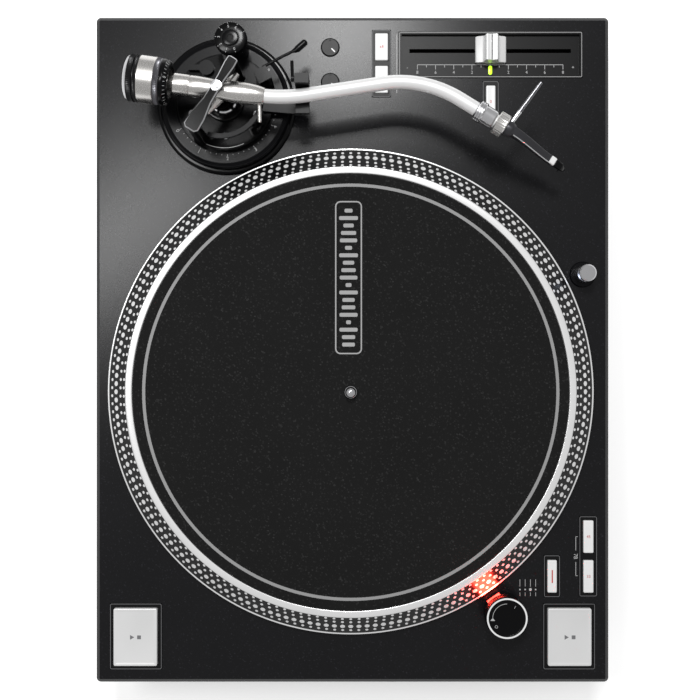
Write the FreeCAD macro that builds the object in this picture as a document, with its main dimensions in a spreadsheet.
import FreeCAD, Part
import os
import re
from math import cos, radians, sin

import Sketcher
from FreeCAD import Vector

# A direct-drive turntable with an S-shaped tonearm, as a parametric document.
# Frame: millimetres, +Z up, +X towards the tonearm end, +Y towards the rear,
# origin at the middle of the surface that the feet stand on.
# Every driving dimension is a named cell of the spreadsheet. Heights whose names end in
# _rise or _drop are measured from the deck's top plane; the arm's own stations (names in
# _at) are measured along the arm from its pivot, and are negative behind the pivot.

SIZES = {
    # Housing
    "deck_length": 458, "deck_width": 353, "deck_top": 88,
    "deck_corner": 3, "deck_bevel": 2.6, "top_plate": 6, "plinth_wall": 5,
    "plinth_bottom": 50, "tray_bottom": 24, "tray_wall": 6, "tray_floor": 5, "tray_inset": 0.8,
    "post_size": 16, "post_inset": 13, "screw_radius": 2.5, "screw_head_radius": 4.6,
    "screw_head_height": 3.5, "screw_reach": 16,
    # Clearances
    "running_gap": 0.05, "body_gap": 0.3, "button_gap": 0.3, "cut_margin": 1,
    # Feet
    "foot_radius": 28, "foot_waist": 23, "foot_inset_x": 50, "foot_inset_y": 48,
    "foot_stud_radius": 5, "foot_boss_radius": 10, "foot_boss_height": 16,
    "foot_edge": 3, "foot_pad_rise": 8, "waist_low_rise": 11, "waist_high_rise": 14,
    "foot_collar_rise": 17, "foot_collar_inset": 1,
    # Motor, bearing and spindle
    "platter_x": -28.5, "platter_y": 1.2,
    "recess_radius": 60, "recess_drop": 14, "recess_wall": 3,
    "bearing_radius": 9, "bearing_flange": 14, "bearing_drop": 38, "bearing_rise": 2.6,
    "shaft_radius": 4, "collar_radius": 9, "hub_radius": 4.2,
    "spindle_radius": 3.6, "spindle_rise": 25, "spindle_tip": 1.5,
    "bearing_floor": 4, "bearing_flange_thickness": 3, "stator_clearance": 1,
    "stator_radius": 56, "stator_board": 1.6, "coil_count": 12, "coil_ring": 42,
    "coil_length": 22, "coil_width": 11, "coil_height": 8,
    "magnet_inner": 28, "magnet_outer": 56, "magnet_rise": -1,
    # Platter and slipmat
    "platter_radius": 166, "platter_foot_rise": 2.5, "platter_lip": 2, "cone_base": 165,
    "cone_top": 152, "rim_rise": 15, "mat_recess": 147.6, "mat_recess_rise": 13,
    "platter_thickness": 5, "skirt_top": 148, "skirt_foot": 161,
    "mat_radius": 147, "mat_thickness": 2.7, "mat_edge": 0.4,
    # Buttons: cap length along X, width along Y; bezel border round each window
    "bezel_rise": 0.7, "bezel_drop": 6, "cap_drop": 5, "cap_corner": 1, "cap_edge": 0.5,
    "start_x": -196.9, "start_y": 148.8, "start_cap_length": 39.5, "start_cap_width": 29.9,
    "start_border": 2.65, "start_cap_rise": 3,
    "speed_bezel_x": -141.9, "speed_bezel_y": -161.9, "speed_bezel_length": 55.3,
    "speed_bezel_width": 12.4, "speed_pitch": 27.3, "speed_cap_length": 22.3, "speed_cap_width": 6.9,
    "reverse_x": -155.5, "reverse_y": -137, "reset_x": 170.2, "reset_y": -94.9,
    "single_bezel_length": 28.9, "single_bezel_width": 11.3,
    "single_cap_length": 22.3, "single_cap_width": 6.4,
    "range_x": 196.7, "range_y": -19.9, "range_bezel_length": 46.4, "range_bezel_width": 13.1,
    "range_pitch": 22.3, "range_cap_length": 18.6, "range_cap_width": 8.9,
    "small_cap_rise": 1.9,
    "switch_size": 8, "switch_board_share": 1.4, "switch_top_drop": 8.6, "plunger_radius": 1.5,
    "plunger_drop": 7,
    "board_drop": 14, "board_thickness": 1.6, "board_margin": 4,
    # Pitch fader
    "fader_x": 202.8, "fader_y": -94.9, "fader_length": 32, "fader_width": 126.5,
    "fader_border": 2, "fader_recess": 2, "slot_x": 206, "slot_length": 111.4, "slot_width": 2.7,
    "fader_cap_length": 17.8, "fader_cap_width": 21.2, "fader_cap_rise": 9,
    "fader_wing_rise": 4, "fader_ridge": 8, "fader_stem_thickness": 2.1, "fader_stem_width": 6,
    "fader_stem_drop": 12, "fader_flare": 1, "track_width": 10, "track_drop": 18, "track_end": 4,
    "track_floor": 2,
    # Turned controls
    "knob_x": -179, "knob_y": -103, "knob_radius": 14.1, "knob_base_rise": 12.3, "knob_top_rise": 22,
    "knob_shaft": 3, "knob_edge": 1, "dish_border": 2.2, "dish_slope": 0.4, "dish_depth": 0.8,
    "pillar_radius": 13, "pillar_top_rise": 12, "pillar_drop": 10,
    "pillar_core": 9.5, "pillar_edge": 1, "window_sill": 3, "window_angle": 35,
    "window_half": 5, "window_low": 2.5, "window_high": 10,
    "light_x": 51.7, "light_y": -158, "light_radius": 5.7, "light_rise": 18, "light_drop": 20,
    "light_edge": 0.8, "sleeve_flange": 1.6, "sleeve_flange_top": 0.8,
    "light_sleeve_radius": 7.4, "light_sleeve_drop": 22, "light_sleeve_rise": 1,
    "light_window_low": 11, "light_window_height": 4.5, "light_window_depth": 3,
    "time_knob_y": 15.3, "start_time_x": 207.8, "stop_time_x": 183.9, "time_knob_radius": 6.25,
    "time_knob_rise": 1, "time_knob_edge": 0.6, "time_knob_drop": 5, "time_slit_length": 10,
    "shaft_gap": 1, "time_slit_width": 1.2, "time_slit_depth": 0.8, "time_shaft": 2.5, "time_pot_radius": 7,
    # Tonearm mounting
    "pivot_x": 167, "pivot_y": 86.3, "escutcheon_radius": 47, "escutcheon_rise": 3,
    "escutcheon_chamfer": 1.2, "guide_radius": 32.5, "guide_drop": 22, "column_radius": 28.4,
    "column_drop": 24, "ring_radius": 43.8, "ring_rise": 8.5, "ring_edge": 1, "platform_radius": 32.4,
    "platform_low_rise": 9, "platform_rise": 14, "arm_boss_radius": 8, "arm_boss_rise": 32,
    "arm_height_rise": 46, "arm_spindle": 3,
    # Gimbal
    "yoke_angle": -31.5, "yoke_width": 6, "yoke_front": 18.5, "yoke_rear": 29, "yoke_front_leg": 5,
    "yoke_rear_leg": 7, "yoke_clip": 2, "yoke_low_rise": 54.4, "yoke_rise": 57.2, "pivot_screw_radius": 3.7,
    "pivot_screw_rise": 58.4, "pivot_screw_seat": 1, "pivot_point_radius": 1.2, "pivot_point_rise": 52.8,
    "gimbal_radius": 10, "gimbal_edge": 1, "gimbal_low_rise": 33, "gimbal_rise": 54.1, "gimbal_window": 13.2,
    "gimbal_window_low": 37, "gimbal_window_high": 52.6, "tilt_pin": 1.5, "tilt_pin_half": 9.4,
    # Anti-skate, cue lift, rest and lock
    "antiskate_x": 203.2, "antiskate_y": 79.7, "antiskate_radius": 10.8, "antiskate_low_rise": 30,
    "antiskate_rise": 38, "antiskate_edge": 1, "antiskate_post": 9.5, "antiskate_shaft": 2.5,
    "antiskate_bore_depth": 14, "antiskate_shaft_depth": 13,
    "cue_x": 180.2, "cue_y": 59, "cue_angle": -63.4, "cue_axis_rise": 30, "cue_post_size": 9,
    "cue_pin": 2, "cue_pin_reach": 1, "cue_hub": 4, "cue_hub_length": 5,
    "cue_stem_length": 19, "cue_stem_width": 3,
    "cue_paddle_shoulder": 3, "cue_paddle_length": 18, "cue_paddle_width": 7.5, "cue_paddle_thickness": 2.4,
    "lift_radius": 27.3, "lift_width": 3, "lift_rise": 35.6, "lift_thickness": 2.6,
    "lift_from": 162, "lift_to": 256, "lift_stem_angle": 230.5, "lift_stem": 2, "lift_post": 4.5,
    "lift_post_rise": 24, "lift_stem_low_rise": 12, "lift_bore_margin": 4,
    "rest_distance": 54, "rest_angle": -94.9, "rest_bar_width": 9, "rest_bar_thickness": 3,
    "rest_bar_root": 6, "rest_post": 7, "rest_tube_gap": 0.8, "rest_side_gap": 2.4,
    "rest_base_thickness": 4.6, "rest_inner": 9,
    "rest_prong_width": 6, "rest_prong_rise": 55.5, "rest_depth": 9,
    "clip_pin": 1.2, "clip_hub": 2.2, "clip_rise": 53, "clip_width": 2, "clip_length": 12, "clip_lean": 55,
    "clip_half": 1.6, "clip_tip_half": 0.9, "clip_slant": 2,
    "lock_x": 189.3, "lock_y": 98, "lock_radius": 5, "lock_height": 4, "lock_pin": 2,
    "lock_lever_length": 12, "lock_lever_width": 3.6, "lock_lever_thickness": 2,
    "lock_bore_depth": 5, "lock_pin_depth": 4.5,
    # Arm
    "arm_angle": -98, "core_radius": 4.2, "housing_radius": 7, "housing_edge": 1,
    "housing_from_at": 12, "housing_to_at": 30, "stub_radius": 6.7, "stub_to_at": -29,
    "thread_radius": 5, "thread_to_at": -53.5,
    "tube_radius": 4.6, "tube_from_at": 20, "bend_at": 41.1, "bend_turn": 16.6, "bend_radius": 115,
    "middle_leg": 92.3, "head_turn": 40, "head_radius": 74, "head_leg": 61.8,
    "collar_from": 54.5, "collar_length": 7, "collar_edge": 0.6, "locking_radius": 7.8,
    "cartridge_length": 40, "cartridge_width": 6.4, "cartridge_depth": 9, "cartridge_fall": 12,
    "cartridge_nose": 5, "plug_radius": 5.4, "plug_length": 5,
    "stylus_length": 8, "stylus_tip_share": 0.55, "stylus_nose_share": 0.7, "stylus_width": 5, 
    "stylus_tip_rise": 17.6, "stylus_tip_size": 1,
    "lift_rod_radius": 1.4, "lift_rod_length": 33, "lift_rod_angle": 85, "lift_rod_at": 1.5,
    # Counterweight
    "sleeve_radius": 8, "sleeve_from_at": -56, "sleeve_to_at": -33, "weight_radius": 15,
    "weight_from_at": -60, "weight_to_at": -36.5, "weight_cap": 2.7, "weight_hub": 9.5,
    "weight_dome_at": 1.5, "weight_dome_drop": 0.8, "weight_face_drop": 3,
    "weight_hub_to_at": -31.6, "dial_from_at": -36.2, "dial_to_at": -31.1, "dial_radius": 14.8,
    "dial_front_radius": 12.5, "dial_band": 2,
    # Inside the housing
    "pillar_inset": 6, "board_pillar": 3, "capacitor_radius": 4, "capacitor_height": 9,
    "capacitor_pitch": 12, "capacitor_offset": 26, "board_x": -30, "board_y": 20,
    "board_length": 150, "board_width": 84, "board_stand": 10,
    "supply_x": -160, "supply_y": 84, "supply_length": 62, "supply_width": 50, "supply_height": 24,
    "core_height": 34, "core_width": 22, "core_overhang": 3,
    # Rear connections
    "connection_height": 39.5, "inlet_x": -120, "inlet_length": 30, "inlet_height": 20,
    "inlet_depth": 24, "inlet_floor": 4, "socket_length": 24, "socket_height": 16,
    "blade_length": 13, "blade_width": 2.2, "blade_thickness": 4, "blade_pitch": 7,
    "blade_root": 1, "blade_stagger": 2,
    "terminal_x": 120, "terminal_length": 70, "terminal_height": 20, "terminal_depth": 20,
    "terminal_wall": 2, "jack_radius": 4.15, "jack_length": 9, "jack_pitch": 20,
    "jack_hole": 1.6, "ground_radius": 3,
}

doc = FreeCAD.newDocument("Turntable")
sheet = doc.addObject("Spreadsheet::Sheet", "Sizes")
for row, (alias, number) in enumerate(SIZES.items(), start=1):
    sheet.set(f"A{row}", alias)
    sheet.set(f"B{row}", str(number))
    sheet.setAlias(f"B{row}", alias)
doc.recompute()

UP = (0, 0, 1)
ALONG_Y = ((1, 0, 0), -90)
nodes = []


# Building blocks ---------------------------------------------------------------------------

def bound(expression):
    """Write every alias of the sheet in an expression as Sizes.alias."""
    return re.sub(r"[a-z_]+", lambda word: f"Sizes.{word[0]}" if word[0] in SIZES else word[0],
                  str(expression))


def value(expression):
    """The present number of an expression."""
    return float(sheet.evalExpression(bound(expression)))


def bind(item, **properties):
    """Tie an object's properties to expressions."""
    for name, expression in properties.items():
        item.setExpression(name, bound(expression))
    return item


def put(item, x=0, y=0, z=0, axis=UP, angle=0):
    """Tie an object's place, and its turn about an axis, to expressions."""
    turn = f"rotation(vector({axis[0]}; {axis[1]}; {axis[2]}); {angle})"
    bind(item, Placement=f"placement(vector({x}; {y}; {z}); {turn})")
    return item


def plane(body, role):
    """One of a body's own origin planes."""
    return next(feature for feature in body.Origin.OriginFeatures if feature.Role == role)


def attached(body, name, role):
    """A new sketch of a body on one of its origin planes."""
    sketch = body.newObject("Sketcher::SketchObject", name + "_sketch")
    sketch.AttachmentSupport = [(plane(body, role), "")]
    sketch.MapMode = "FlatFace"
    return sketch


def outline(body, name, role, points):
    """A closed sketch of straight lines whose corners are tied to expressions."""
    sketch = attached(body, name, role)
    spots = [Vector(value(across), value(along), 0) for across, along in points]
    for index, spot in enumerate(spots):
        sketch.addGeometry(Part.LineSegment(spot, spots[(index + 1) % len(spots)]))
    for index in range(len(spots)):
        sketch.addConstraint(Sketcher.Constraint("Coincident", index, 2, (index + 1) % len(spots), 1))
    for index, (across, along) in enumerate(points):
        for kind, number, expression in (("DistanceX", spots[index].x, across),
                                         ("DistanceY", spots[index].y, along)):
            row = sketch.addConstraint(Sketcher.Constraint(kind, -1, 1, index, 1, number))
            sketch.setExpression(f"Constraints[{row}]", bound(expression))
    return sketch


def turned(name, points, lengthwise=False):
    """A body of revolution: (radius, height) points, or (station, radius) points lengthwise."""
    body = doc.addObject("PartDesign::Body", name)
    sketch = outline(body, name, "XY_Plane" if lengthwise else "XZ_Plane", points)
    feature = body.newObject("PartDesign::Revolution", name + "_turned")
    feature.Profile = sketch
    feature.ReferenceAxis = (sketch, ["H_Axis" if lengthwise else "V_Axis"])
    feature.Angle = 360
    return body


def plate(name, points, thickness, role="XY_Plane"):
    """A body made by padding a straight-sided outline; upright outlines pad both ways."""
    body = doc.addObject("PartDesign::Body", name)
    sketch = outline(body, name, role, points)
    feature = body.newObject("PartDesign::Pad", name + "_pad")
    feature.Profile = sketch
    feature.Midplane = role != "XY_Plane"
    bind(feature, Length=thickness)
    return body


def rectangle(length, width):
    """The corners of a rectangle centred on the origin."""
    return [(f"-({length})/2", f"-({width})/2"), (f"({length})/2", f"-({width})/2"),
            (f"({length})/2", f"({width})/2"), (f"-({length})/2", f"({width})/2")]


def block(name, length, width, height, corner=None, edge=None, bevel=False):
    """A centred block with rounded upright corners and a rounded or bevelled top edge."""
    body = plate(name, rectangle(length, width), height)
    doc.recompute()
    if corner:
        upright = [f"Edge{number}" for number, side in enumerate(body.Shape.Edges, start=1)
                   if abs(side.tangentAt(side.FirstParameter).z) > 0.99]
        base = body.Tip
        rounded = body.newObject("PartDesign::Fillet", name + "_corners")
        rounded.Base = (base, upright)
        bind(rounded, Radius=corner)
        doc.recompute()
    if edge:
        top = body.Shape.BoundBox.ZMax
        around = [f"Edge{number}" for number, side in enumerate(body.Shape.Edges, start=1)
                  if side.BoundBox.ZMin > top - 1e-6]
        base = body.Tip
        eased = body.newObject("PartDesign::Chamfer" if bevel else "PartDesign::Fillet",
                               name + "_edge")
        eased.Base = (base, around)
        bind(eased, **{"Size" if bevel else "Radius": edge})
    return body


def rod(name, radius, length, x=0, y=0, z=0, way=(UP, 0)):
    """A cylinder that starts at a point and runs upwards, or along Y."""
    return put(bind(doc.addObject("Part::Cylinder", name), Radius=radius, Height=length),
               x, y, z, *way)


def brick(name, length, width, height, x=0, y=0, z=0):
    """A box centred in plan on a point, standing on a height."""
    item = bind(doc.addObject("Part::Box", name), Length=length, Width=width, Height=height)
    return put(item, f"{x} - ({length})/2", f"{y} - ({width})/2", z)


def fuse(name, pieces):
    """Several solids joined into one piece."""
    item = doc.addObject("Part::MultiFuse", name)
    item.Shapes = pieces
    return item


def cut(name, base, tools):
    """A solid with other solids taken out of it."""
    item = doc.addObject("Part::Cut", name)
    item.Base = base
    item.Tool = tools[0] if len(tools) == 1 else fuse(name + "_tools", tools)
    return item


def group(name, pieces):
    """Several like solids kept as one node."""
    item = doc.addObject("Part::Compound", name)
    item.Links = pieces
    return item


def node(item, label):
    """Name a finished piece and list it for export."""
    item.Label = label
    nodes.append(item)
    return item


DECK = "deck_top"


# Housing -----------------------------------------------------------------------------------

POST_X = "(deck_length/2 - post_inset)"
POST_Y = "(deck_width/2 - post_inset)"
FOOT_X = "(deck_length/2 - foot_inset_x)"
FOOT_Y = "(deck_width/2 - foot_inset_y)"
CORNERS = [(x, y) for x in ("", "-") for y in ("", "-")]
RECESS_FLOOR = "(deck_top - recess_drop)"
WINDOW = {
    "start": ("start_cap_length + 2*button_gap", "start_cap_width + 2*button_gap"),
    "speed": ("speed_cap_length + 2*button_gap", "speed_cap_width + 2*button_gap"),
    "single": ("single_cap_length + 2*button_gap", "single_cap_width + 2*button_gap"),
    "range": ("range_cap_length + 2*button_gap", "range_cap_width + 2*button_gap"),
}
START_BEZEL = ("start_cap_length + 2*button_gap + 2*start_border",
               "start_cap_width + 2*button_gap + 2*start_border")
SWITCH_BUTTONS = [
    # Label, centre X, centre Y, window kind, cap rise
    ("start_stop_button_front", "start_x", "-start_y", "start", "start_cap_rise"),
    ("start_stop_button_rear", "start_x", "start_y", "start", "start_cap_rise"),
    ("speed_button_33", "(speed_bezel_x - speed_pitch/2)", "speed_bezel_y", "speed", "small_cap_rise"),
    ("speed_button_45", "(speed_bezel_x + speed_pitch/2)", "speed_bezel_y", "speed", "small_cap_rise"),
    ("reverse_button", "reverse_x", "reverse_y", "single", "small_cap_rise"),
    ("pitch_range_button_8", "(range_x + range_pitch/2)", "range_y", "range", "small_cap_rise"),
    ("pitch_range_button_16", "(range_x - range_pitch/2)", "range_y", "range", "small_cap_rise"),
    ("reset_button", "reset_x", "reset_y", "single", "small_cap_rise"),
]
BEZEL_SEATS = [
    ("start_x", "-start_y", *START_BEZEL),
    ("start_x", "start_y", *START_BEZEL),
    ("speed_bezel_x", "speed_bezel_y", "speed_bezel_length", "speed_bezel_width"),
    ("reverse_x", "reverse_y", "single_bezel_length", "single_bezel_width"),
    ("reset_x", "reset_y", "single_bezel_length", "single_bezel_width"),
    ("range_x", "range_y", "range_bezel_length", "range_bezel_width"),
    ("fader_x", "fader_y", "fader_length", "fader_width"),
]
ROUND_SEATS = [
    ("light_x", "light_y", "light_sleeve_radius"),
    ("start_time_x", "time_knob_y", "time_knob_radius + button_gap"),
    ("stop_time_x", "time_knob_y", "time_knob_radius + button_gap"),
    ("knob_x", "knob_y", "pillar_core"),
    ("pivot_x", "pivot_y", "guide_radius"),
]


def top_plinth():
    """Die-cast top shell: plate, side walls, motor recess, corner posts and control seats."""
    shell = put(block("plinth_block", "deck_length", "deck_width", f"{DECK} - plinth_bottom",
                      "deck_corner", "deck_bevel", bevel=True), z="plinth_bottom")
    cavity = brick("plinth_cavity", "deck_length - 2*plinth_wall", "deck_width - 2*plinth_wall",
                   f"{DECK} - top_plate - plinth_bottom", z="plinth_bottom")
    hollow = cut("plinth_shell", shell, [cavity])
    posts = [brick("plinth_post", "post_size", "post_size", f"{DECK} - top_plate - plinth_bottom",
                   f"{x}{POST_X}", f"{y}{POST_Y}", "plinth_bottom") for x, y in CORNERS]
    cup = rod("motor_cup", "recess_radius + recess_wall", "recess_drop + recess_wall - deck_bevel",
              "platter_x", "platter_y", f"{RECESS_FLOOR} - recess_wall")
    tools = [rod("motor_recess", "recess_radius", "recess_drop", "platter_x", "platter_y",
                 RECESS_FLOOR),
             rod("bearing_hole", "bearing_radius", "recess_wall", "platter_x", "platter_y",
                 f"{RECESS_FLOOR} - recess_wall")]
    tools += [brick("seat", length, width, "top_plate", x, y, f"{DECK} - top_plate")
              for x, y, length, width in BEZEL_SEATS]
    tools += [rod("round_seat", radius, "top_plate", x, y, f"{DECK} - top_plate")
              for x, y, radius in ROUND_SEATS]
    tools += [rod("post_hole", "screw_radius", "screw_reach", f"{x}{POST_X}", f"{y}{POST_Y}",
                  "plinth_bottom") for x, y in CORNERS]
    return cut("plinth", fuse("plinth_solid", [hollow, cup] + posts), tools)


def base_tray():
    """Heavy moulded base: floor, walls, foot bosses, screw posts and rear openings."""
    height = "plinth_bottom - tray_bottom"
    shell = put(block("tray_block", "deck_length - 2*tray_inset", "deck_width - 2*tray_inset",
                      height, "deck_corner"), z="tray_bottom")
    cavity = brick("tray_cavity", "deck_length - 2*tray_inset - 2*tray_wall",
                   "deck_width - 2*tray_inset - 2*tray_wall", f"{height} - tray_floor",
                   z="tray_bottom + tray_floor")
    bosses = [rod("foot_boss", "foot_boss_radius", "foot_boss_height", f"{x}{FOOT_X}",
                  f"{y}{FOOT_Y}", "tray_bottom") for x, y in CORNERS]
    posts = [brick("tray_post", "post_size", "post_size", height, f"{x}{POST_X}", f"{y}{POST_Y}",
                   "tray_bottom") for x, y in CORNERS]
    tools = [rod("stud_bore", "foot_stud_radius + running_gap", "foot_boss_height",
                 f"{x}{FOOT_X}", f"{y}{FOOT_Y}", "tray_bottom") for x, y in CORNERS]
    tools += [rod("screw_hole", "screw_radius", height, f"{x}{POST_X}", f"{y}{POST_Y}",
                  "tray_bottom") for x, y in CORNERS]
    tools += [rod("screw_seat", "screw_head_radius", "screw_head_height", f"{x}{POST_X}",
                  f"{y}{POST_Y}", "tray_bottom") for x, y in CORNERS]
    tools.append(brick("inlet_opening", "inlet_length", "2*tray_wall", "inlet_height", "inlet_x",
                       "deck_width/2 - tray_inset - tray_wall/2",
                       "connection_height - inlet_height/2"))
    tools.append(brick("terminal_opening", "terminal_length", "2*tray_wall", "terminal_height",
                       "terminal_x", "deck_width/2 - tray_inset - tray_wall/2",
                       "connection_height - terminal_height/2"))
    return cut("tray", fuse("tray_solid", [cut("tray_shell", shell, [cavity])] + bosses + posts),
               tools)


def base_screw(index, x, y):
    """One of the four screws that hold the tray to the plinth."""
    length = "plinth_bottom - tray_bottom + screw_reach"
    body = turned(f"screw_{index}", [("0", "0"), ("screw_head_radius", "0"),
                                     ("screw_head_radius", "screw_head_height"),
                                     ("screw_radius", "screw_head_height"),
                                     ("screw_radius", length), ("0", length)])
    return put(body, f"{x}{POST_X}", f"{y}{POST_Y}", "tray_bottom")


def foot(index, x, y):
    """Rubber-padded foot whose stud screws up into a boss of the tray."""
    height = "(tray_bottom - body_gap)"
    stud = "(tray_bottom + foot_boss_height)"
    body = turned(f"foot_{index}", [("0", "0"), ("foot_radius - foot_edge", "0"),
                                    ("foot_radius", "foot_edge"), ("foot_radius", "foot_pad_rise"),
                                    ("foot_waist", "waist_low_rise"), ("foot_waist", "waist_high_rise"),
                                    ("foot_radius - foot_collar_inset", "foot_collar_rise"),
                                    ("foot_radius - foot_collar_inset", height),
                                    ("foot_stud_radius", height), ("foot_stud_radius", stud), ("0", stud)])
    return put(body, f"{x}{FOOT_X}", f"{y}{FOOT_Y}")


node(top_plinth(), "top_plinth")
node(base_tray(), "base_tray")
node(group("screws", [base_screw(index, x, y) for index, (x, y) in enumerate(CORNERS)]),
     "base_screws")
for index, (label, (x, y)) in enumerate(zip(
        ("foot_rear_right", "foot_front_right", "foot_rear_left", "foot_front_left"), CORNERS)):
    node(foot(index, x, y), label)


# Drive -------------------------------------------------------------------------------------

BEARING_FOOT = "(deck_top - bearing_drop)"
UNDERSIDE = "(deck_top + mat_recess_rise - platter_thickness)"
MAT_FLOOR = "(deck_top + mat_recess_rise)"
MAT_LOW = f"({MAT_FLOOR} + body_gap)"
MAT_TOP = f"({MAT_LOW} + mat_thickness)"
SHAFT_FOOT = f"({BEARING_FOOT} + bearing_floor + body_gap)"


def on_axis(item):
    """Stand a turned piece on the platter's axis."""
    return put(item, "platter_x", "platter_y")


node(on_axis(turned("bearing", [
    ("0", BEARING_FOOT), ("bearing_radius", BEARING_FOOT), ("bearing_radius", RECESS_FLOOR),
    ("bearing_flange", RECESS_FLOOR), ("bearing_flange", f"{RECESS_FLOOR} + bearing_flange_thickness"),
    ("bearing_radius", f"{RECESS_FLOOR} + bearing_flange_thickness"),
    ("bearing_radius", "deck_top + bearing_rise"),
    ("shaft_radius + running_gap", "deck_top + bearing_rise"),
    ("shaft_radius + running_gap", f"{BEARING_FOOT} + bearing_floor"),
    ("0", f"{BEARING_FOOT} + bearing_floor")])),
    "spindle_bearing")
node(on_axis(turned("spindle_turned", [
    ("0", SHAFT_FOOT), ("shaft_radius", SHAFT_FOOT), ("shaft_radius", "deck_top + bearing_rise + body_gap"),
    ("collar_radius", "deck_top + bearing_rise + body_gap"), ("collar_radius", UNDERSIDE),
    ("hub_radius", UNDERSIDE), ("hub_radius", MAT_TOP), ("spindle_radius", MAT_TOP),
    ("spindle_radius", "deck_top + spindle_rise - spindle_tip"),
    ("spindle_radius - spindle_tip", "deck_top + spindle_rise"), ("0", "deck_top + spindle_rise")])),
    "spindle")
node(on_axis(turned("platter_turned", [
    ("hub_radius + running_gap", UNDERSIDE), ("skirt_top", UNDERSIDE),
    ("skirt_foot", "deck_top + platter_foot_rise"), ("platter_radius", "deck_top + platter_foot_rise"),
    ("platter_radius", "deck_top + platter_foot_rise + platter_lip"),
    ("cone_base", "deck_top + platter_foot_rise + platter_lip"),
    ("cone_top", "deck_top + rim_rise"), ("mat_recess", "deck_top + rim_rise"),
    ("mat_recess", MAT_FLOOR), ("hub_radius + running_gap", MAT_FLOOR)])), "platter")
node(on_axis(turned("magnet", [
    ("magnet_inner", "deck_top + magnet_rise"), ("magnet_outer", "deck_top + magnet_rise"),
    ("magnet_outer", UNDERSIDE), ("magnet_inner", UNDERSIDE)])), "rotor_magnet")
node(on_axis(turned("mat", [
    ("hub_radius + running_gap", MAT_LOW), ("mat_radius - mat_edge", MAT_LOW),
    ("mat_radius", f"{MAT_LOW} + mat_edge"), ("mat_radius", f"{MAT_TOP} - mat_edge"),
    ("mat_radius - mat_edge", MAT_TOP),
    ("hub_radius + running_gap", MAT_TOP)])), "slipmat")


def motor_stator():
    """Coils in a ring on a board on the recess floor."""
    board = on_axis(turned("stator_board", [
        ("bearing_flange + stator_clearance", RECESS_FLOOR), ("stator_radius", RECESS_FLOOR),
        ("stator_radius", f"{RECESS_FLOOR} + stator_board"),
        ("bearing_flange + stator_clearance", f"{RECESS_FLOOR} + stator_board")]))
    coils = []
    for index in range(int(value("coil_count"))):
        angle = f"({index}*360/coil_count)"
        coil = block(f"coil_{index}", "coil_length", "coil_width", "coil_height", "coil_width/3")
        coils.append(put(coil, f"platter_x + coil_ring*cos({angle})",
                         f"platter_y + coil_ring*sin({angle})",
                         f"{RECESS_FLOOR} + stator_board", angle=angle))
    return fuse("stator", [board] + coils)


node(motor_stator(), "motor_stator")


# Buttons, bezels and switches --------------------------------------------------------------

BEZEL_LOW = "(deck_top - bezel_drop)"


def bezel(name, length, width, x, y, windows):
    """A flanged frame in a seat of the deck, with one window for each (offset, kind)."""
    frame = put(block(name, length, width, "bezel_drop + bezel_rise", "cap_corner", "cap_edge"),
                x, y, BEZEL_LOW)
    tools = [brick(name + "_window", *WINDOW[kind], "bezel_drop + bezel_rise",
                   f"({x} + {offset})", y, BEZEL_LOW) for offset, kind in windows]
    return cut(name + "_frame", frame, tools)


node(group("start_bezels", [
    bezel("start_bezel_front", *START_BEZEL, "start_x", "-start_y", [("0", "start")]),
    bezel("start_bezel_rear", *START_BEZEL, "start_x", "start_y", [("0", "start")])]),
    "start_stop_bezels")
node(bezel("speed_bezel", "speed_bezel_length", "speed_bezel_width", "speed_bezel_x",
           "speed_bezel_y", [("speed_pitch/2", "speed"), ("-speed_pitch/2", "speed")]),
     "speed_button_bezel")
node(group("single_bezels", [
    bezel("reverse_bezel", "single_bezel_length", "single_bezel_width", "reverse_x", "reverse_y",
          [("0", "single")]),
    bezel("reset_bezel", "single_bezel_length", "single_bezel_width", "reset_x", "reset_y",
          [("0", "single")])]), "single_button_bezels")
node(bezel("range_bezel", "range_bezel_length", "range_bezel_width", "range_x", "range_y",
           [("range_pitch/2", "range"), ("-range_pitch/2", "range")]), "pitch_range_bezel")

for label, x, y, kind, rise in SWITCH_BUTTONS:
    cap = block(label + "_cap", f"{kind}_cap_length", f"{kind}_cap_width", f"cap_drop + {rise}",
                "cap_corner", "cap_edge")
    node(put(cap, x, y, "deck_top - cap_drop"), label)


def switch_board(name, x, y, length, width, spots):
    """A small board under the deck with a switch and its plunger below each button."""
    board = brick(name, length, width, "board_thickness", x, y, "deck_top - board_drop")
    parts = [board]
    for spot_x, spot_y in spots:
        parts.append(brick(name + "_switch", "switch_size", "switch_size",
                           "board_drop - board_thickness - switch_top_drop", spot_x, spot_y,
                           "deck_top - board_drop + board_thickness"))
        parts.append(rod(name + "_plunger", "plunger_radius", "switch_top_drop - plunger_drop",
                         spot_x, spot_y, "deck_top - switch_top_drop"))
    parts += [brick(name + "_stay", "board_margin", width, "board_drop - bezel_drop",
                    f"({x} + {side}(({length})/2 - board_margin/2))", y, "deck_top - board_drop")
              for side in ("", "-")]
    return fuse(name + "_assembly", parts)


def time_control(name, x):
    """A rotary control body under the deck with a bore for its knob's shaft."""
    body = turned(name, [
        ("time_shaft + running_gap", "deck_top - board_drop"), ("time_pot_radius", "deck_top - board_drop"),
        ("time_pot_radius", BEZEL_LOW), ("time_shaft + running_gap", BEZEL_LOW)])
    return put(body, x, "time_knob_y")


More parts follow.
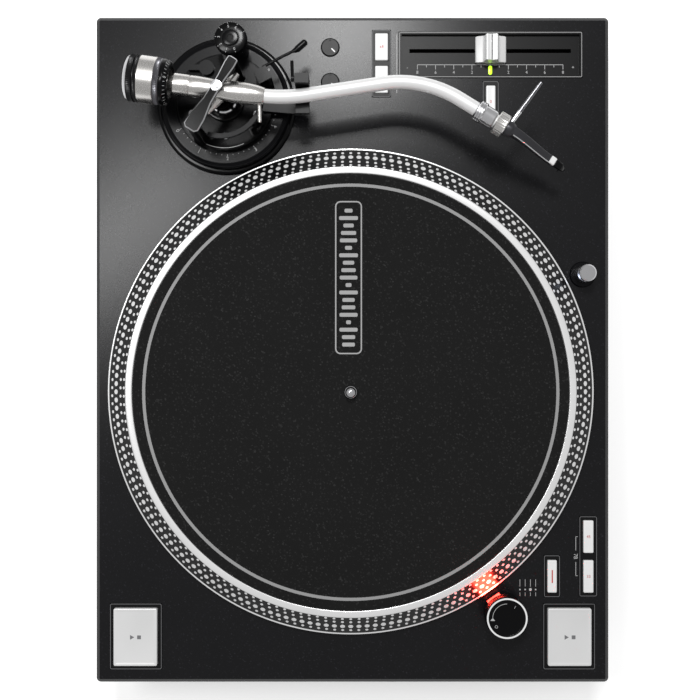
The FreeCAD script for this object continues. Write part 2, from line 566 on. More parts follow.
node(group("boards", [
    switch_board("front_start_board", "start_x", "-start_y", "start_cap_length",
                 "switch_size*switch_board_share", [("start_x", "-start_y")]),
    switch_board("rear_start_board", "start_x", "start_y", "start_cap_length",
                 "switch_size*switch_board_share", [("start_x", "start_y")]),
    switch_board("speed_board", "speed_bezel_x", "speed_bezel_y", "speed_bezel_length",
                 "speed_bezel_width", [(SWITCH_BUTTONS[2][1], "speed_bezel_y"),
                                       (SWITCH_BUTTONS[3][1], "speed_bezel_y")]),
    switch_board("reverse_board", "reverse_x", "reverse_y", "single_bezel_length",
                 "single_bezel_width", [("reverse_x", "reverse_y")]),
    switch_board("reset_board", "reset_x", "reset_y", "single_bezel_length",
                 "single_bezel_width", [("reset_x", "reset_y")]),
    switch_board("range_board", "range_x", "range_y", "range_bezel_length",
                 "range_bezel_width", [(SWITCH_BUTTONS[5][1], "range_y"),
                                       (SWITCH_BUTTONS[6][1], "range_y")]),
    time_control("start_time_control", "start_time_x"),
    time_control("stop_time_control", "stop_time_x")]), "control_boards")


# Pitch fader -------------------------------------------------------------------------------

FADER_FLOOR = "(deck_top - fader_recess)"
fader_frame = put(block("fader_block", "fader_length", "fader_width", "bezel_drop + bezel_rise",
                        "cap_corner", "cap_edge"), "fader_x", "fader_y", BEZEL_LOW)
node(cut("fader_panel", fader_frame, [
    brick("fader_recess_tool", "fader_length - 2*fader_border", "fader_width - 2*fader_border",
          "fader_recess + bezel_rise", "fader_x", "fader_y", FADER_FLOOR),
    brick("fader_slot_tool", "slot_width", "slot_length", "bezel_drop + bezel_rise", "slot_x",
          "fader_y", BEZEL_LOW)]), "pitch_fader_panel")
node(cut("fader_track", brick("track_block", "track_width", "slot_length + 2*track_end",
                              "track_drop - bezel_drop", "slot_x", "fader_y",
                              "deck_top - track_drop"),
         [brick("track_channel", "slot_width", "slot_length", "track_drop - bezel_drop - track_floor",
                "slot_x", "fader_y", "deck_top - track_drop + track_floor")]), "pitch_fader_track")

FADER_CAP_LOW = "(2*body_gap - fader_recess)"
cap_profile = plate("fader_cap_body", [
    ("-fader_cap_width/2", FADER_CAP_LOW), ("fader_cap_width/2", FADER_CAP_LOW),
    ("fader_cap_width/2", "fader_wing_rise/2"), ("fader_ridge/2 + fader_flare", "fader_wing_rise"),
    ("fader_ridge/2", "fader_cap_rise"), ("-fader_ridge/2", "fader_cap_rise"),
    ("-fader_ridge/2 - fader_flare", "fader_wing_rise"), ("-fader_cap_width/2", "fader_wing_rise/2")],
    "fader_cap_length", "YZ_Plane")
put(cap_profile, "slot_x", "fader_y", "deck_top")
node(fuse("fader_cap", [cap_profile, brick(
    "fader_stem", "fader_stem_thickness", "fader_stem_width", "fader_stem_drop - fader_recess + cut_margin",
    "slot_x", "fader_y", "deck_top - fader_stem_drop")]), "pitch_fader_cap")


# Turned controls ---------------------------------------------------------------------------

def window_piece(name, reach):
    """A block across the pillar's wall on the platter's side, out to a radius."""
    body = plate(name, [("pillar_core - window_sill", "-window_half"), (reach, "-window_half"),
                        (reach, "window_half"), ("pillar_core - window_sill", "window_half")],
                 "window_high - window_low")
    return put(body, "knob_x", "knob_y", "deck_top + window_low", angle="window_angle")


def strobe_pillar():
    """Fixed pillar with a window opening that faces the platter and a bore for the knob."""
    pillar = put(turned("pillar", [
        ("knob_shaft + running_gap", "-pillar_drop"), ("pillar_core", "-pillar_drop"),
        ("pillar_core", "0"), ("pillar_radius", "0"), ("pillar_radius", "pillar_top_rise - pillar_edge"),
        ("pillar_radius - pillar_edge", "pillar_top_rise"), ("knob_shaft + running_gap", "pillar_top_rise")]),
        "knob_x", "knob_y", DECK)
    return cut("pillar_open", pillar, [window_piece("window_mouth", "pillar_radius + 2*cut_margin")])


node(strobe_pillar(), "strobe_pillar")
node(window_piece("window_lens", "pillar_radius - pillar_edge"), "strobe_window")
node(put(turned("power_knob_turned", [
    ("0", "-pillar_drop/2"), ("knob_shaft", "-pillar_drop/2"), ("knob_shaft", "knob_base_rise"),
    ("knob_radius", "knob_base_rise"), ("knob_radius", "knob_top_rise - knob_edge"),
    ("knob_radius - knob_edge", "knob_top_rise"), ("knob_radius - dish_border", "knob_top_rise"),
    ("knob_radius - dish_border - dish_slope", "knob_top_rise - dish_depth"),
    ("0", "knob_top_rise - dish_depth")]),
    "knob_x", "knob_y", DECK), "power_knob")

node(put(turned("light_sleeve", [
    ("light_radius + running_gap", "-light_sleeve_drop"), ("light_sleeve_radius", "-light_sleeve_drop"),
    ("light_sleeve_radius", "0"), ("light_sleeve_radius + sleeve_flange", "0"),
    ("light_sleeve_radius + sleeve_flange_top", "light_sleeve_rise"),
    ("light_radius + running_gap", "light_sleeve_rise")]),
    "light_x", "light_y", DECK), "target_light_sleeve")


def target_light():
    """Pop-up light: a plunger with a window near its top on the platter's side."""
    barrel = put(turned("light_barrel", [
        ("0", "-light_drop"), ("light_radius", "-light_drop"), ("light_radius", "light_rise - light_edge"),
        ("light_radius - light_edge", "light_rise"), ("0", "light_rise")]), "light_x", "light_y", DECK)
    notch = plate("light_notch", [
        ("light_radius - light_window_depth", "-light_radius"),
        ("light_radius + cut_margin", "-light_radius"),
        ("light_radius + cut_margin", "light_radius"), ("light_radius - light_window_depth", "light_radius")],
        "light_window_height")
    angle = "atan2(platter_y - light_y; platter_x - light_x)"
    put(notch, "light_x", "light_y", "deck_top + light_window_low", angle=angle)
    return cut("light_cut", barrel, [notch])


node(target_light(), "target_light")
for label, x in (("start_time_knob", "start_time_x"), ("stop_time_knob", "stop_time_x")):
    knob = turned(label + "_turned", [
        ("0", "shaft_gap - board_drop"), ("time_shaft", "shaft_gap - board_drop"),
        ("time_shaft", "-time_knob_drop"), ("time_knob_radius", "-time_knob_drop"),
        ("time_knob_radius", "time_knob_rise - time_knob_edge"),
        ("time_knob_radius - time_knob_edge", "time_knob_rise"), ("0", "time_knob_rise")])
    slit = brick(label + "_slit", "time_slit_length", "time_slit_width", "time_slit_depth + cut_margin",
                 x, "time_knob_y", "deck_top + time_knob_rise - time_slit_depth")
    node(cut(label + "_slotted", put(knob, x, "time_knob_y", DECK), [slit]), label)


# Tonearm mounting --------------------------------------------------------------------------

def at_pivot(item, z="deck_top", angle=0):
    """Stand a piece on the arm's upright axis."""
    return put(item, "pivot_x", "pivot_y", z, angle=angle)


node(at_pivot(turned("escutcheon", [
    ("column_radius + running_gap", "-guide_drop"), ("guide_radius", "-guide_drop"),
    ("guide_radius", "0"), ("escutcheon_radius", "0"),
    ("escutcheon_radius", "escutcheon_rise - escutcheon_chamfer"),
    ("escutcheon_radius - escutcheon_chamfer", "escutcheon_rise"),
    ("column_radius + running_gap", "escutcheon_rise")])), "arm_escutcheon")
node(at_pivot(turned("scale_ring", [
    ("column_radius + body_gap", "escutcheon_rise + body_gap"),
    ("ring_radius", "escutcheon_rise + body_gap"), ("ring_radius", "ring_rise - ring_edge"),
    ("ring_radius - ring_edge", "ring_rise"), ("column_radius + body_gap", "ring_rise")])), "height_ring")

POST_LOW = "(deck_top + platform_low_rise)"
LIFT_X = "(pivot_x + lift_radius*cos(lift_stem_angle))"
LIFT_Y = "(pivot_y + lift_radius*sin(lift_stem_angle))"
REST_X = "(pivot_x + rest_distance*cos(rest_angle))"
REST_Y = "(pivot_y + rest_distance*sin(rest_angle))"
REST_RISE = "(arm_height_rise - tube_radius - rest_tube_gap)"
PRONG_GAP = "(tube_radius + rest_side_gap)"
PRONG_X = f"({REST_X} + {PRONG_GAP} + rest_prong_width/2)"
CUE_BACK = "(cue_post_size/2 + body_gap)"


def arm_base():
    """Sliding column with a platform that carries the gimbal, rest, lift and anti-skate."""
    column = at_pivot(turned("column", [
        ("0", "-column_drop"), ("column_radius", "-column_drop"), ("column_radius", "platform_low_rise"),
        ("platform_radius", "platform_low_rise"), ("platform_radius", "platform_rise"),
        ("arm_boss_radius", "platform_rise"), ("arm_boss_radius", "arm_boss_rise"),
        ("0", "arm_boss_rise")]))
    skate_post = rod("antiskate_column", "antiskate_post",
                     "antiskate_low_rise - body_gap - platform_low_rise",
                     "antiskate_x", "antiskate_y", POST_LOW)
    lift_post = rod("lift_column", "lift_post", "lift_post_rise - platform_low_rise", LIFT_X, LIFT_Y,
                    POST_LOW)
    cue_post = put(block("cue_column", "cue_post_size", "cue_post_size",
                         "cue_axis_rise + cue_hub - platform_low_rise"),
                   "cue_x", "cue_y", POST_LOW, angle="cue_angle")
    tools = [
        rod("arm_bore", "arm_spindle + running_gap", "arm_boss_rise - platform_rise + 2*cut_margin",
            "pivot_x", "pivot_y", "deck_top + platform_rise - 2*cut_margin"),
        rod("antiskate_bore", "antiskate_shaft + running_gap", "antiskate_bore_depth", "antiskate_x",
            "antiskate_y", "deck_top + antiskate_low_rise - antiskate_bore_depth"),
        rod("lift_bore", "lift_stem + running_gap",
            "lift_post_rise - lift_stem_low_rise + lift_bore_margin", LIFT_X, LIFT_Y,
            "deck_top + lift_stem_low_rise - lift_bore_margin"),
        cue_pin("cue_bore", "cue_pin + running_gap", "cue_post_size + 4*cut_margin",
                "-cue_post_size/2 - 2*cut_margin"),
        rod("lock_bore", "lock_pin + running_gap", "lock_bore_depth", "lock_x", "lock_y",
            "deck_top + platform_rise - lock_bore_depth"),
    ]
    return cut("base_cut", fuse("base_solid", [column, skate_post, lift_post, cue_post]), tools)


def cue_pin(name, radius, length, start):
    """A cylinder on the cue lever's axis, which crosses the lever's own direction."""
    body = turned(name, [("0", start), ("0", f"{start} + {length}"), (radius, f"{start} + {length}"),
                         (radius, start)])
    return put(body, "cue_x", "cue_y", "deck_top + cue_axis_rise",
               ("cos(cue_angle)", "sin(cue_angle)", 0), -90)


def arm_rest():
    """Bar and post from the platform to a fork: low inner side, tall outer prong."""
    bar = put(plate("rest_bar", [("platform_radius - rest_bar_root", "-rest_bar_width/2"),
                                 ("rest_distance", "-rest_bar_width/2"),
                                 ("rest_distance", "rest_bar_width/2"),
                                 ("platform_radius - rest_bar_root", "rest_bar_width/2")],
                    "rest_bar_thickness"),
              "pivot_x", "pivot_y", "deck_top + platform_rise", angle="rest_angle")
    post = rod("rest_post", "rest_post/2", f"{REST_RISE} - platform_rise", REST_X, REST_Y,
               "deck_top + platform_rise")
    base = brick("rest_base", f"rest_inner + {PRONG_GAP} + rest_prong_width", "rest_depth",
                 "rest_base_thickness",
                 f"({REST_X} + ({PRONG_GAP} + rest_prong_width - rest_inner)/2)", REST_Y,
                 f"deck_top + {REST_RISE} - rest_base_thickness")
    prong = brick("rest_prong", "rest_prong_width", "rest_depth",
                  f"rest_prong_rise - {REST_RISE} + cut_margin", PRONG_X, REST_Y,
                  f"deck_top + {REST_RISE} - cut_margin")
    bore = rod("clip_bore", "clip_pin + running_gap", "rest_depth", PRONG_X,
               f"{REST_Y} - rest_depth/2", "deck_top + clip_rise", ALONG_Y)
    return cut("rest", fuse("rest_solid", [bar, post, base, prong]), [bore])


def gimbal_yoke():
    """Fixed arch over the arm with its upper pivot screw."""
    arch = put(plate("arch", [
        ("-yoke_rear - yoke_rear_leg/2", "platform_rise"), ("-yoke_rear + yoke_rear_leg/2", "platform_rise"),
        ("-yoke_rear + yoke_rear_leg/2", "yoke_low_rise"),
        ("yoke_front - yoke_front_leg/2", "yoke_low_rise"),
        ("yoke_front - yoke_front_leg/2", "platform_rise"),
        ("yoke_front + yoke_front_leg/2", "platform_rise"),
        ("yoke_front + yoke_front_leg/2", "yoke_rise - yoke_clip"),
        ("yoke_front + yoke_front_leg/2 - yoke_clip", "yoke_rise"),
        ("-yoke_rear - yoke_rear_leg/2 + yoke_clip", "yoke_rise"),
        ("-yoke_rear - yoke_rear_leg/2", "yoke_rise - yoke_clip")],
        "yoke_width", "XZ_Plane"), "pivot_x", "pivot_y", "deck_top", angle="yoke_angle")
    screw = at_pivot(turned("pivot_screw", [
        ("0", "pivot_point_rise"), ("pivot_point_radius", "pivot_point_rise"),
        ("pivot_point_radius", "yoke_low_rise + pivot_screw_seat"),
        ("pivot_screw_radius", "yoke_low_rise + pivot_screw_seat"),
        ("pivot_screw_radius", "pivot_screw_rise"), ("0", "pivot_screw_rise")]))
    return fuse("yoke", [arch, screw])


def cue_lever():
    """Lever on a cross pin beside its post, with a flat paddle for the finger."""
    out = f"({CUE_BACK} + cue_hub_length/2)"
    hub = cue_pin("cue_lever_hub", "cue_hub", "cue_hub_length", CUE_BACK)
    pin = cue_pin("cue_lever_pin", "cue_pin", f"cue_post_size + {CUE_BACK} - cue_post_size/2 + cue_pin_reach",
                  "-cue_post_size/2")
    paddle = plate("cue_paddle", [
        ("0", f"{out} - cue_stem_width/2"), ("cue_stem_length", f"{out} - cue_stem_width/2"),
        ("cue_stem_length + cue_paddle_shoulder", f"{out} - cue_paddle_width/2"),
        ("cue_stem_length + cue_paddle_length", f"{out} - cue_paddle_width/2"),
        ("cue_stem_length + cue_paddle_length", f"{out} + cue_paddle_width/2"),
        ("cue_stem_length + cue_paddle_shoulder", f"{out} + cue_paddle_width/2"),
        ("cue_stem_length", f"{out} + cue_stem_width/2"), ("0", f"{out} + cue_stem_width/2")],
        "cue_paddle_thickness")
    put(paddle, "cue_x", "cue_y", "deck_top + cue_axis_rise - cue_paddle_thickness/2",
        angle="cue_angle")
    return fuse("cue", [hub, pin, paddle])


def lift_bar():
    """Curved bar under the arm on a stem that slides in its post."""
    ring = at_pivot(turned("lift_ring", [
        ("lift_radius - lift_width/2", "lift_rise - lift_thickness"),
        ("lift_radius + lift_width/2", "lift_rise - lift_thickness"),
        ("lift_radius + lift_width/2", "lift_rise"), ("lift_radius - lift_width/2", "lift_rise")]))
    ring.Tip.setExpression("Angle", bound("lift_to - lift_from"))
    at_pivot(ring, angle="lift_from")
    stem = rod("lift_stem_rod", "lift_stem", "lift_rise - lift_stem_low_rise - lift_thickness/2",
               LIFT_X, LIFT_Y, "deck_top + lift_stem_low_rise")
    return fuse("lift", [ring, stem])


def rest_clip():
    """Clip on a pin beside the rest's outer prong, standing open."""
    face = f"({REST_Y} + rest_depth/2 + body_gap)"
    hub = rod("clip_hub_rod", "clip_hub", "clip_width", PRONG_X, face, "deck_top + clip_rise",
              ALONG_Y)
    pin = rod("clip_pin_rod", "clip_pin", "rest_depth + clip_width", PRONG_X,
              f"{REST_Y} - rest_depth/2 + body_gap", "deck_top + clip_rise", ALONG_Y)
    blade = put(plate("clip_blade", [
        ("-clip_half", "0"), ("clip_half", "0"), ("clip_tip_half", "clip_length - clip_slant"),
        ("-clip_tip_half", "clip_length")], "clip_width", "XZ_Plane"), PRONG_X,
        f"{face} + clip_width/2", "deck_top + clip_rise",
        (0, 1, 0), "clip_lean")
    return fuse("clip", [hub, pin, blade])


node(arm_base(), "arm_base")
node(arm_rest(), "arm_rest")
node(gimbal_yoke(), "gimbal_yoke")
node(put(turned("antiskate_turned", [
    ("0", "antiskate_low_rise - antiskate_shaft_depth"),
    ("antiskate_shaft", "antiskate_low_rise - antiskate_shaft_depth"),
    ("antiskate_shaft", "antiskate_low_rise"), ("antiskate_radius", "antiskate_low_rise"),
    ("antiskate_radius", "antiskate_rise - antiskate_edge"),
    ("antiskate_radius - antiskate_edge", "antiskate_rise"),
    ("0", "antiskate_rise")]), "antiskate_x", "antiskate_y", DECK), "antiskate_dial")
node(cue_lever(), "cue_lever")
node(lift_bar(), "lift_bar")
node(rest_clip(), "arm_rest_clip")
lock_disc = put(turned("lock_disc", [
    ("0", "platform_rise - lock_pin_depth"), ("lock_pin", "platform_rise - lock_pin_depth"),
    ("lock_pin", "platform_rise + body_gap"), ("lock_radius", "platform_rise + body_gap"),
    ("lock_radius", "platform_rise + lock_height"), ("0", "platform_rise + lock_height")]),
    "lock_x", "lock_y", DECK)
lock_bar = brick("lock_bar", "lock_lever_width", "lock_lever_length", "lock_lever_thickness",
                 "lock_x", "(lock_y + lock_lever_length/2)",
                 "deck_top + platform_rise + lock_height - lock_lever_thickness")
node(fuse("lock", [lock_disc, lock_bar]), "height_lock_lever")


# Gimbal and arm ----------------------------------------------------------------------------

ARM_Z = "(deck_top + arm_height_rise)"


def on_arm(item):
    """Lay a piece in the arm's frame: X forwards from the pivot along the arm."""
    return put(item, "pivot_x", "pivot_y", ARM_Z, angle="arm_angle")


def inner_gimbal():
    """Drum that swings with the arm: lower spindle, window for the arm and tilt bearings."""
    drum = at_pivot(turned("drum", [
        ("0", "platform_rise - cut_margin"), ("arm_spindle", "platform_rise - cut_margin"),
        ("arm_spindle", "gimbal_low_rise"), ("gimbal_radius", "gimbal_low_rise"),
        ("gimbal_radius", "gimbal_rise - gimbal_edge"), ("gimbal_radius - gimbal_edge", "gimbal_rise"),
        ("0", "gimbal_rise")]))
    window = block("gimbal_opening", "2*gimbal_radius + 2*cut_margin", "gimbal_window",
                   "gimbal_window_high - gimbal_window_low")
    put(window, "pivot_x", "pivot_y", "deck_top + gimbal_window_low", angle="arm_angle")
    top = rod("pivot_socket", "pivot_point_radius + running_gap",
              "gimbal_rise - gimbal_window_high + 2*cut_margin", "pivot_x", "pivot_y",
              "deck_top + gimbal_window_high - cut_margin")
    cross = on_arm(plate_pin("tilt_bore", "tilt_pin + running_gap", "2*gimbal_radius + 2*cut_margin"))
    return cut("gimbal", drum, [window, top, cross])


def plate_pin(name, radius, length):
    """A cylinder across the arm, centred on it."""
    body = doc.addObject("PartDesign::Body", name)
    sketch = attached(body, name, "XZ_Plane")
    sketch.addGeometry(Part.Circle(Vector(0, 0, 0), Vector(0, 0, 1), value(radius)))
    sketch.addConstraint(Sketcher.Constraint("Coincident", 0, 3, -1, 1))
    row = sketch.addConstraint(Sketcher.Constraint("Radius", 0, value(radius)))
    sketch.setExpression(f"Constraints[{row}]", bound(radius))
    feature = body.newObject("PartDesign::Pad", name + "_pad")
    feature.Profile = sketch
    feature.Midplane = True
    bind(feature, Length=length)
    return body


def arm_tube():
    """S-shaped tube: a padded circle carried along straight legs and two tangent bends."""
    body = doc.addObject("PartDesign::Body", "tube")
    path = attached(body, "tube_path", "XY_Plane")
    first = Vector(value("bend_at"), 0, 0)
    heading = radians(value("bend_turn"))
    second = first + Vector(cos(heading), sin(heading), 0) * value("middle_leg")
    heading = radians(value("bend_turn - head_turn"))
    last = second + Vector(cos(heading), sin(heading), 0) * value("head_leg")
    start = Vector(value("tube_from_at"), 0, 0)
    corners = [start, first, second, last]
    trims = [value("bend_radius*tan(bend_turn/2)"), value("head_radius*tan(head_turn/2)")]
    before, after = [], []
    for corner, trim, back, ahead in zip(corners[1:3], trims, corners[:2], corners[2:]):
        before.append(corner + (back - corner).normalize() * trim)
        after.append(corner + (ahead - corner).normalize() * trim)
    ends = [start, before[0], after[0], before[1], after[1], last]
    for leg in range(3):
        path.addGeometry(Part.LineSegment(ends[2 * leg], ends[2 * leg + 1]))
    for bend, (corner, sense) in enumerate(zip(corners[1:3], (1, -1))):
        aim = (before[bend] + after[bend]) * 0.5 - corner
        radius = value(("bend_radius", "head_radius")[bend])
        reach = (radius ** 2 + trims[bend] ** 2) ** 0.5
        middle = corner + aim.normalize() * (reach - radius)
        path.addGeometry(Part.Arc(before[bend], middle, after[bend]))
    # A left-hand bend starts where its arc starts; a right-hand bend is stored the other way
    joins = [(0, 2, 3, 1), (3, 2, 1, 1), (1, 2, 4, 2), (4, 1, 2, 1)]
    for join in joins:
        path.addConstraint(Sketcher.Constraint("Tangent", *join))
    ties = [("DistanceX", (-1, 1, 0, 1), "tube_from_at"), ("DistanceY", (-1, 1, 0, 1), "0"),
            ("Distance", (0,), "bend_at - tube_from_at - bend_radius*tan(bend_turn/2)"),
            ("Distance", (1,), "middle_leg - bend_radius*tan(bend_turn/2) - head_radius*tan(head_turn/2)"),
            ("Distance", (2,), "head_leg - head_radius*tan(head_turn/2)"),
            ("Radius", (3,), "bend_radius"), ("Radius", (4,), "head_radius")]
    path.addConstraint(Sketcher.Constraint("Horizontal", 0))
    for kind, where, expression in ties:
        row = path.addConstraint(Sketcher.Constraint(kind, *where, value(expression)))
        path.setExpression(f"Constraints[{row}]", bound(expression))
    for leg, expression in ((1, "bend_turn"), (2, "bend_turn - head_turn")):
        row = path.addConstraint(Sketcher.Constraint("Angle", leg, radians(value(expression))))
        path.setExpression(f"Constraints[{row}]", bound(f"({expression})*1deg"))
    section = body.newObject("Sketcher::SketchObject", "tube_section")
    section.AttachmentSupport = [(plane(body, "YZ_Plane"), "")]
    section.MapMode = "FlatFace"
    section.setExpression("AttachmentOffset.Base.z", bound("tube_from_at"))
    section.addGeometry(Part.Circle(Vector(0, 0, 0), Vector(0, 0, 1), value("tube_radius")))
    section.addConstraint(Sketcher.Constraint("Coincident", 0, 3, -1, 1))
    row = section.addConstraint(Sketcher.Constraint("Radius", 0, value("tube_radius")))
    section.setExpression(f"Constraints[{row}]", bound("tube_radius"))
    doc.recompute()
    pipe = body.newObject("PartDesign::AdditivePipe", "tube_pipe")
    pipe.Profile = section
    pipe.Spine = (path, ["Edge1", "Edge4", "Edge2", "Edge5", "Edge3"])
    return body


# The head's frame: origin at the second bend's corner, X along the cartridge
HEAD_ANGLE = "(arm_angle + bend_turn - head_turn)"
HEAD_X = "(pivot_x + bend_at*cos(arm_angle) + middle_leg*cos(arm_angle + bend_turn))"
HEAD_Y = "(pivot_y + bend_at*sin(arm_angle) + middle_leg*sin(arm_angle + bend_turn))"


def on_head(item):
    """Lay a piece in the head's frame."""
    return put(item, HEAD_X, HEAD_Y, ARM_Z, angle=HEAD_ANGLE)


node(inner_gimbal(), "inner_gimbal")
carrier = on_arm(turned("carrier", [
    ("thread_to_at", "0"), ("thread_to_at", "thread_radius"), ("stub_to_at", "thread_radius"),
    ("stub_to_at", "stub_radius"), ("-housing_from_at", "stub_radius"), ("-housing_from_at", "core_radius"),
    ("housing_from_at", "core_radius"), ("housing_from_at", "housing_radius"),
    ("housing_to_at - housing_edge", "housing_radius"),
    ("housing_to_at", "housing_radius - housing_edge"),
    ("housing_to_at", "tube_radius"), ("tube_from_at", "tube_radius"), ("tube_from_at", "0")],
    lengthwise=True))
node(fuse("carrier_with_pin", [carrier, on_arm(plate_pin("tilt_pin_rod", "tilt_pin", "2*tilt_pin_half"))]),
     "arm_carrier")
node(on_arm(arm_tube()), "arm_tube")

COLLAR_END = "(collar_from + collar_length)"
node(on_head(turned("collar", [
    ("collar_from", "tube_radius + running_gap"), ("collar_from", "locking_radius - collar_edge"),
    ("collar_from + collar_edge", "locking_radius"), (f"{COLLAR_END} - collar_edge", "locking_radius"),
    (COLLAR_END, "locking_radius - collar_edge"), (COLLAR_END, "tube_radius + running_gap")],
    lengthwise=True)), "locking_collar")

# Cartridge, finger lift and stylus
CART_END = "(head_leg + cartridge_length)"
NOSE_TOP = "(cartridge_nose/2 - cartridge_fall)"
NOSE_LOW = "(-cartridge_nose/2 - cartridge_fall)"
cartridge = plate("cartridge", [
    ("head_leg + plug_length", "cartridge_depth/2"), ("head_leg + plug_length", "-cartridge_depth/2"),
    (CART_END, NOSE_LOW), (CART_END, NOSE_TOP)], "cartridge_width", "XZ_Plane")
plug = turned("cartridge_plug", [("head_leg", "0"), ("head_leg", "plug_radius"),
                                 ("head_leg + plug_length", "plug_radius"),
                                 ("head_leg + plug_length", "0")], lengthwise=True)
node(fuse("cartridge_whole", [on_head(cartridge), on_head(plug)]), "cartridge_body")
TIP_Z = "(stylus_tip_rise - arm_height_rise)"
node(on_head(plate("stylus_block", [
    (CART_END, NOSE_TOP), (CART_END, NOSE_LOW), (f"{CART_END} + stylus_length*stylus_tip_share", TIP_Z),
    (f"{CART_END} + stylus_length*stylus_tip_share + stylus_tip_size", TIP_Z),
    (f"{CART_END} + stylus_length", NOSE_LOW), (f"{CART_END} + stylus_length*stylus_nose_share", NOSE_TOP)],
    "stylus_width", "XZ_Plane")), "stylus")
ROD_AT = "(head_leg + lift_rod_at)"
ROD_WAY = f"({HEAD_ANGLE} + lift_rod_angle)"
lift_rod = put(rod("finger_rod", "lift_rod_radius", "lift_rod_length"),
               f"{HEAD_X} + {ROD_AT}*cos({HEAD_ANGLE}) - cartridge_width/2*sin({HEAD_ANGLE})",
               f"{HEAD_Y} + {ROD_AT}*sin({HEAD_ANGLE}) + cartridge_width/2*cos({HEAD_ANGLE})",
               ARM_Z, (f"-sin({ROD_WAY})", f"cos({ROD_WAY})", 0), 90)
node(lift_rod, "finger_lift")

# Counterweight
node(on_arm(turned("weight_sleeve", [
    ("sleeve_from_at", "thread_radius + running_gap"), ("sleeve_from_at", "sleeve_radius"),
    ("sleeve_to_at", "sleeve_radius"), ("sleeve_to_at", "thread_radius + running_gap")],
    lengthwise=True)), "counterweight_sleeve")
node(on_arm(turned("weight", [
    ("weight_from_at", "0"), ("weight_from_at", "weight_radius - weight_face_drop"),
    ("weight_from_at + weight_dome_at", "weight_radius - weight_dome_drop"),
    ("weight_from_at + weight_cap", "weight_radius"),
    ("weight_to_at", "weight_radius"), ("weight_to_at", "weight_hub"),
    ("weight_hub_to_at", "weight_hub"), ("weight_hub_to_at", "sleeve_radius + running_gap"),
    ("weight_from_at + weight_cap", "sleeve_radius + running_gap"), ("weight_from_at + weight_cap", "0")],
    lengthwise=True)), "counterweight")
node(on_arm(turned("dial", [
    ("dial_from_at", "weight_hub + running_gap"), ("dial_from_at", "dial_radius"),
    ("dial_from_at + dial_band", "dial_radius"), ("dial_to_at", "dial_front_radius"),
    ("dial_to_at", "weight_hub + running_gap")], lengthwise=True)), "force_dial")


# Inside the housing and rear connections -----------------------------------------------------

TRAY_FLOOR = "(tray_bottom + tray_floor)"
CHIPS = [
    # Centre across and along the board, then length, width and height
    (-45, 18, 28, 18, 2.5), (0, 20, 22, 22, 2), (40, 22, 18, 10, 3), (40, -20, 30, 8, 8),
    (-40, -24, 24, 8, 8),
]
board_parts = [brick("main_board", "board_length", "board_width", "board_thickness", "board_x",
                     "board_y", f"{TRAY_FLOOR} + board_stand")]
board_parts += [rod("board_post", "board_pillar", "board_stand",
                    f"board_x {x} (board_length/2 - pillar_inset)",
                    f"board_y {y} (board_width/2 - pillar_inset)", TRAY_FLOOR)
                for x in "+-" for y in "+-"]
BOARD_TOP = f"({TRAY_FLOOR} + board_stand + board_thickness)"
for offset_x, offset_y, length, width, height in CHIPS:
    board_parts.append(brick("chip", length, width, height, f"(board_x + {offset_x})",
                             f"(board_y + {offset_y})", BOARD_TOP))
for step in (-1, 0, 1):
    board_parts.append(rod("capacitor", "capacitor_radius", "capacitor_height",
                           f"board_x + {step}*capacitor_pitch", "board_y - capacitor_offset",
                           BOARD_TOP))
node(fuse("board_assembly", board_parts), "main_circuit_board")

node(fuse("supply_assembly", [
    brick("supply_core", "supply_length", "supply_width", "supply_height", "supply_x", "supply_y",
          TRAY_FLOOR),
    brick("supply_coil", "core_width", "supply_width + 2*core_overhang", "core_height", "supply_x",
          "supply_y", TRAY_FLOOR)]), "power_supply")

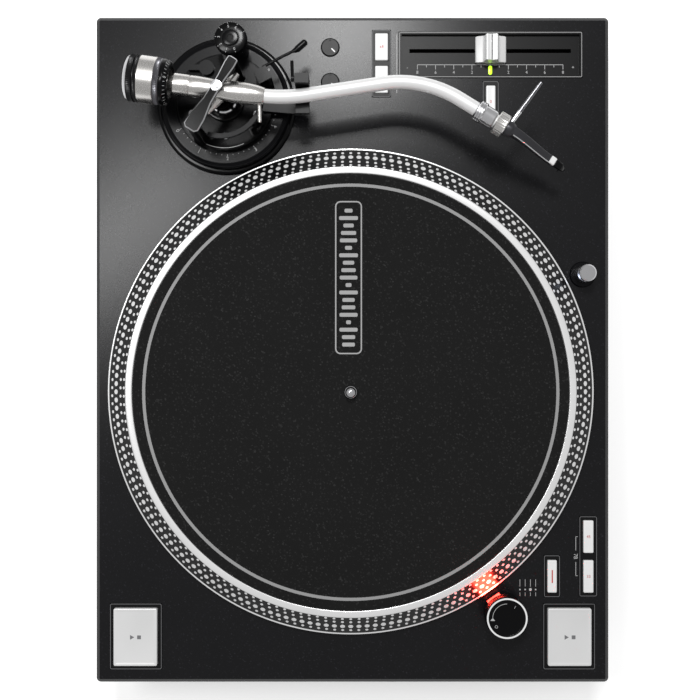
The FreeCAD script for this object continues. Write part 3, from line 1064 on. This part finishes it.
REAR = "(deck_width/2)"
INLET_LOW = "(connection_height - inlet_height/2)"
inlet_block = brick("inlet_block", "inlet_length", "inlet_depth", "inlet_height", "inlet_x",
                    f"({REAR} - inlet_depth/2)", INLET_LOW)
inlet_cavity = brick("inlet_socket", "socket_length", "inlet_depth", "socket_height", "inlet_x",
                     f"({REAR} - inlet_depth/2 + inlet_floor)", "connection_height - socket_height/2")
BLADE_Y = f"({REAR} - inlet_depth + inlet_floor + blade_length/2 - blade_root/2)"
blades = [brick("inlet_blade", "blade_width", "blade_length + blade_root", "blade_thickness",
                f"(inlet_x + {offset}*blade_pitch)", BLADE_Y,
                f"connection_height - blade_thickness/2 + ({rise})")
          for offset, rise in ((-1, "-blade_stagger"), (0, "blade_stagger"), (1, "-blade_stagger"))]
node(fuse("inlet", [cut("inlet_shell", inlet_block, [inlet_cavity])] + blades), "mains_inlet")

PANEL_FACE = f"({REAR} - tray_inset)"
JACK_ROOT = f"({PANEL_FACE} - terminal_depth + terminal_wall)"
terminal_block = brick("terminal_block", "terminal_length", "terminal_depth", "terminal_height",
                       "terminal_x", f"({PANEL_FACE} - terminal_depth/2)",
                       "connection_height - terminal_height/2")
terminal_cavity = brick("terminal_cavity", "terminal_length - 2*terminal_wall", "terminal_depth",
                        "terminal_height - 2*terminal_wall", "terminal_x",
                        f"({PANEL_FACE} - terminal_depth/2 + terminal_wall)",
                        "connection_height - terminal_height/2 + terminal_wall")
posts = [rod("jack", radius, "jack_length + terminal_wall/2", f"terminal_x + {offset}*jack_pitch",
             f"{JACK_ROOT} - terminal_wall/2", "connection_height", ALONG_Y)
         for offset, radius in ((-1, "jack_radius"), (0, "jack_radius"), (1, "ground_radius"))]
jack_holes = [rod("jack_hole", "jack_hole", "jack_length + cut_margin", f"terminal_x + {offset}*jack_pitch",
                  JACK_ROOT, "connection_height", ALONG_Y) for offset in (-1, 0)]
shell = cut("terminal_shell", terminal_block, [terminal_cavity])
node(cut("terminal", fuse("terminal_solid", [shell] + posts), jack_holes), "signal_terminal")


# Check and export --------------------------------------------------------------------------

doc.recompute()
for item in doc.Objects:
    if "Invalid" in item.State or "Error" in item.State:
        raise RuntimeError(f"{item.Label} did not build: {item.State}")
os.makedirs("parts", exist_ok=True)
for item in nodes:
    if item.Shape.isNull() or not item.Shape.isValid() or not item.Shape.Solids:
        raise RuntimeError(f"{item.Label} has no valid solid")
    item.Shape.exportStep(f"parts/{item.Label}.step")
print(f"{len(nodes)} nodes, lowest point {min(item.Shape.BoundBox.ZMin for item in nodes):.2f}, "
      f"highest point {max(item.Shape.BoundBox.ZMax for item in nodes):.2f}")
